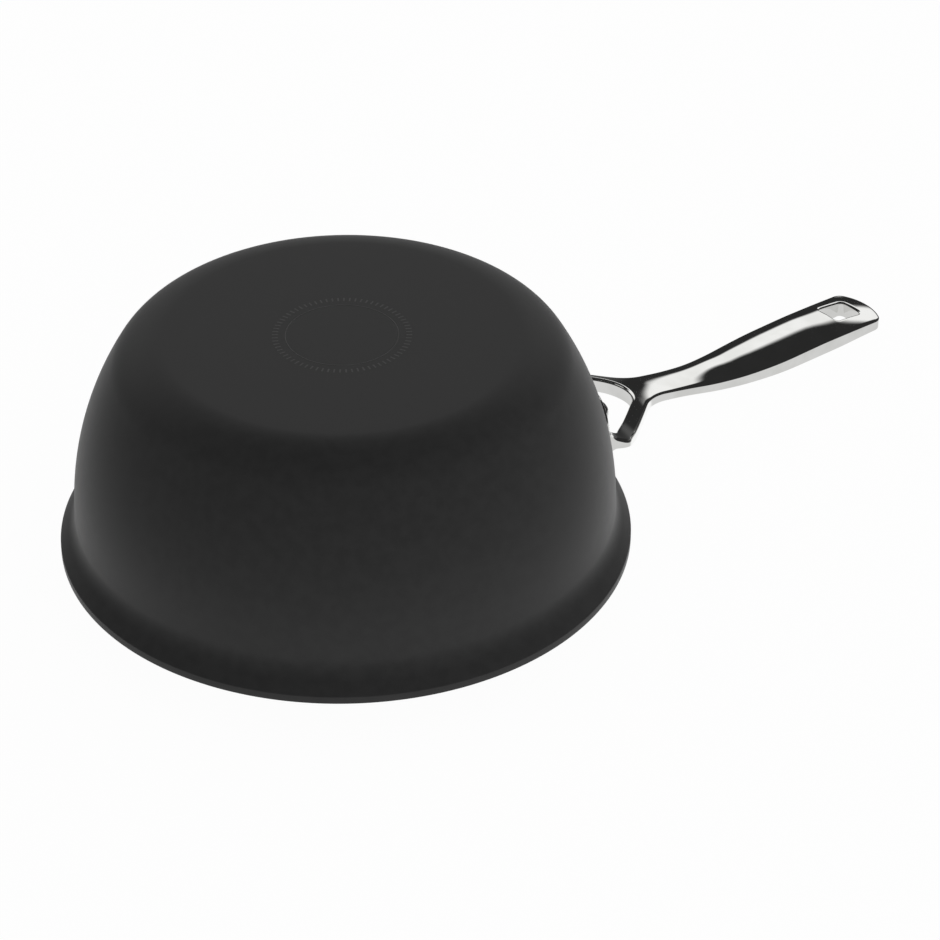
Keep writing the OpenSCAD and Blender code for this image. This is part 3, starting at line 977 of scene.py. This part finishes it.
def plateMesh():
    edge, thickness, sink = plateSizes["edge"], plateSizes["thickness"], plateSizes["sink"]
    rings, backRings = plateSizes["rings"], plateSizes["backRings"]
    rows = [closedIn(plateOutline(0), 0, -sink)]
    for k in range(handle["edgeSteps"] + 1):
        angle = math.pi / 2 * k / handle["edgeSteps"]
        inset, lift = edge * (1 - math.cos(angle)), thickness - edge * (1 - math.sin(angle))
        rows.append(closedIn(plateOutline(inset), 0, lift))
    rows += [closedIn(plateOutline(edge), k / rings, thickness) for k in range(1, rings + 1)]
    back = [closedIn(plateOutline(0), k / backRings, -sink) for k in range(backRings + 1)]
    shape = bmesh.new()
    for sheet in (rows, back):
        addSheet(shape, [row + row[:1] for row in sheet])
    bmesh.ops.remove_doubles(shape, verts=shape.verts, dist=weld)
    bmesh.ops.dissolve_degenerate(shape, dist=weld, edges=shape.edges)
    return finishedMesh("bracketPlate", shape)


def joined(name, first, second):  # the two closed meshes as one
    body, other = addPiece(name, first), addPiece("joinedSource", second)
    union = body.modifiers.new("Union", "BOOLEAN")
    union.operation, union.solver, union.object = "UNION", "EXACT", other
    graph = bpy.context.evaluated_depsgraph_get()
    made = bpy.data.meshes.new_from_object(body.evaluated_get(graph), depsgraph=graph)
    for piece in (body, other):
        bpy.data.objects.remove(piece)
    return addPiece(name, made)


casting = joined("handleCasting", castingMesh(), plateMesh())
casting.data.materials.append(finishes["polish"])
settle(faceOutwards(casting, handle["sharpAngle"]), ["handle"])

# The steel plate stays as the frame has it, sealed in the base
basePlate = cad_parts["base_plate"]
for slot in basePlate.material_slots:
    slot.material = finishes["plate"]
print("base plate has", len(basePlate.material_slots), "finish")


# Camera at the photo's angle: from below the standing pan, its base towards the top of the picture

cameraView = {
    "place": (-834.7 * mm, 1080.6 * mm, -855.5 * mm),
    "heading": math.radians(-50),
    "rise": math.radians(34.17),
    "lens": 142.9,
    "sensor": 36,
}


def addCamera(view):
    flat = math.cos(view["rise"])
    ahead = Vector((math.cos(view["heading"]) * flat, math.sin(view["heading"]) * flat,
                    math.sin(view["rise"])))
    right = Vector((-math.sin(view["heading"]), math.cos(view["heading"]), 0))
    up = right.cross(ahead)
    data = bpy.data.cameras.new("photoCamera")
    data.lens = view["lens"]
    data.sensor_width = view["sensor"]
    camera = bpy.data.objects.new("photoCamera", data)
    camera.rotation_mode = "QUATERNION"
    camera.rotation_quaternion = Matrix((right, up, -ahead)).transposed().to_quaternion()
    camera.location = view["place"]
    scene.collection.objects.link(camera)
    scene.camera = camera


addCamera(cameraView)
print("camera set")


# Studio: pale floors that only the camera sees, a plain light on matt surfaces that is stronger from
# above and from one side, and bright and dark fields that metal and coating mirror. The reach of the
# dusk, where the grey starts and both ends of the panel are heights of a direction, from -1 straight
# down to 1 straight up. The panel's top is its lower end, because the photo shows the pan upside down.

studio = {
    "floorSize": 8,
    "lowFloor": 0,
    "highFloor": 122.5 * mm,
    "lowGlow": 0.6,
    "highGlow": 0.97,
    "floorPaint": (0.98, 0.98, 0.98),
    "plainLevel": (1, 1, 1),
    "softSideHeading": math.radians(40),
    "softSideShare": 0.3,
    "softTopShare": 0.6,
    "darkLevel": (0.024, 0.024, 0.024),
    "duskLevel": (0.12, 0.12, 0.12),
    "duskReach": (-0.03, 0.23),
    "greyLevel": (0.69, 0.69, 0.685),
    "greyFrom": 0.34,
    "frontLevel": (1, 1, 1),
    "frontHeading": math.radians(-25),
    "frontReach": (0.89, 0.992),
    "panelLevel": (0.95, 0.95, 0.94),
    "panelHeading": math.radians(-60),
    "panelHalfWidth": math.radians(50),
    "panelTop": -0.62,
    "panelFoot": -0.235,
    "softness": 0.05,
}


def paleFloor(name, glow):
    material = bpy.data.materials.new(name)
    material.use_nodes = True
    tree = material.node_tree
    tree.nodes.clear()
    lit = put(tree, "ShaderNodeBsdfDiffuse", {"Color": (*studio["floorPaint"], 1)}).outputs[0]
    plain = put(tree, "ShaderNodeEmission", {"Strength": 1}).outputs[0]
    front = put(tree, "ShaderNodeMixShader", {0: glow, 1: lit, 2: plain}).outputs[0]
    clear = tree.nodes.new("ShaderNodeBsdfTransparent").outputs[0]
    behind = tree.nodes.new("ShaderNodeNewGeometry").outputs["Backfacing"]
    seen = put(tree, "ShaderNodeMixShader", {0: behind, 1: front, 2: clear}).outputs[0]
    put(tree, "ShaderNodeOutputMaterial", {"Surface": seen})
    return material


def addFloor(name, height, glow, way):
    half = studio["floorSize"] / 2
    corners = [(-half, -half), (half, -half), (half, half), (-half, half)][::way]
    mesh = bpy.data.meshes.new(name)
    mesh.from_pydata([(x, y, height) for x, y in corners], [], [(0, 1, 2, 3)])
    mesh.materials.append(paleFloor(name, glow))
    floor = addPiece(name, mesh)
    floor.visible_diffuse = floor.visible_glossy = floor.visible_transmission = False
    floor.visible_shadow = False


def towards(tree, parts, heading):  # how far a direction points along a heading
    return calc(tree, "ADD", calc(tree, "MULTIPLY", parts[0], math.cos(heading)),
                calc(tree, "MULTIPLY", parts[1], math.sin(heading)))


def headingShare(tree, parts, heading):  # 1 along the heading in plan, less beside it
    flat = calc(tree, "SQRT", calc(tree, "ADD", calc(tree, "POWER", parts[0], 2),
                                   calc(tree, "POWER", parts[1], 2)))
    return calc(tree, "DIVIDE", towards(tree, parts, heading), flat)


def softStep(tree, value, level, low=0, high=1):  # passes from low to high about a level
    soft = studio["softness"]
    return ramp(tree, value, level - soft, level + soft, low, high)


def mirroredFields(tree, parts):  # dark below, pale above and whiter in front, with a bright low panel
    front = ramp(tree, headingShare(tree, parts, studio["frontHeading"]), *studio["frontReach"], 0, 1)
    pale = mixColor(tree, front, studio["greyLevel"], studio["frontLevel"])
    dusk = calc(tree, "MULTIPLY", front, ramp(tree, parts[2], *studio["duskReach"], 0, 1))
    dim = mixColor(tree, dusk, studio["darkLevel"], studio["duskLevel"])
    field = mixColor(tree, softStep(tree, parts[2], studio["greyFrom"]), dim, pale)
    beside = softStep(tree, headingShare(tree, parts, studio["panelHeading"]),
                      math.cos(studio["panelHalfWidth"]))
    above = softStep(tree, parts[2], studio["panelTop"])
    under = softStep(tree, parts[2], studio["panelFoot"], 1, 0)
    panel = calc(tree, "MULTIPLY", beside, calc(tree, "MULTIPLY", above, under))
    return mixColor(tree, panel, field, studio["panelLevel"])


def mattStrength(tree, parts, diffuse):  # matt surfaces find more light above and on the soft side
    side = calc(tree, "MULTIPLY", towards(tree, parts, studio["softSideHeading"]), studio["softSideShare"])
    lean = calc(tree, "MULTIPLY_ADD", parts[2], studio["softTopShare"], side)
    return calc(tree, "MULTIPLY_ADD", lean, diffuse, 1)


def addWorld():
    world = bpy.data.worlds.new("studioWorld")
    world.use_nodes = True
    world.cycles.sampling_method = "NONE"
    tree = world.node_tree
    tree.nodes.clear()
    way = tree.nodes.new("ShaderNodeTexCoord").outputs["Generated"]
    parts = put(tree, "ShaderNodeSeparateXYZ", {0: way}).outputs
    path = tree.nodes.new("ShaderNodeLightPath").outputs
    shiny = calc(tree, "MAXIMUM", path["Is Glossy Ray"], path["Is Transmission Ray"])
    seen = mixColor(tree, shiny, studio["plainLevel"], mirroredFields(tree, parts))
    strength = mattStrength(tree, parts, path["Is Diffuse Ray"])
    glow = put(tree, "ShaderNodeBackground", {"Color": seen, "Strength": strength}).outputs[0]
    put(tree, "ShaderNodeOutputWorld", {"Surface": glow})
    scene.world = world


addFloor("lowFloor", studio["lowFloor"], studio["lowGlow"], 1)
addFloor("highFloor", studio["highFloor"], studio["highGlow"], -1)
addWorld()
scene.view_settings.view_transform = "Standard"
print("studio set")
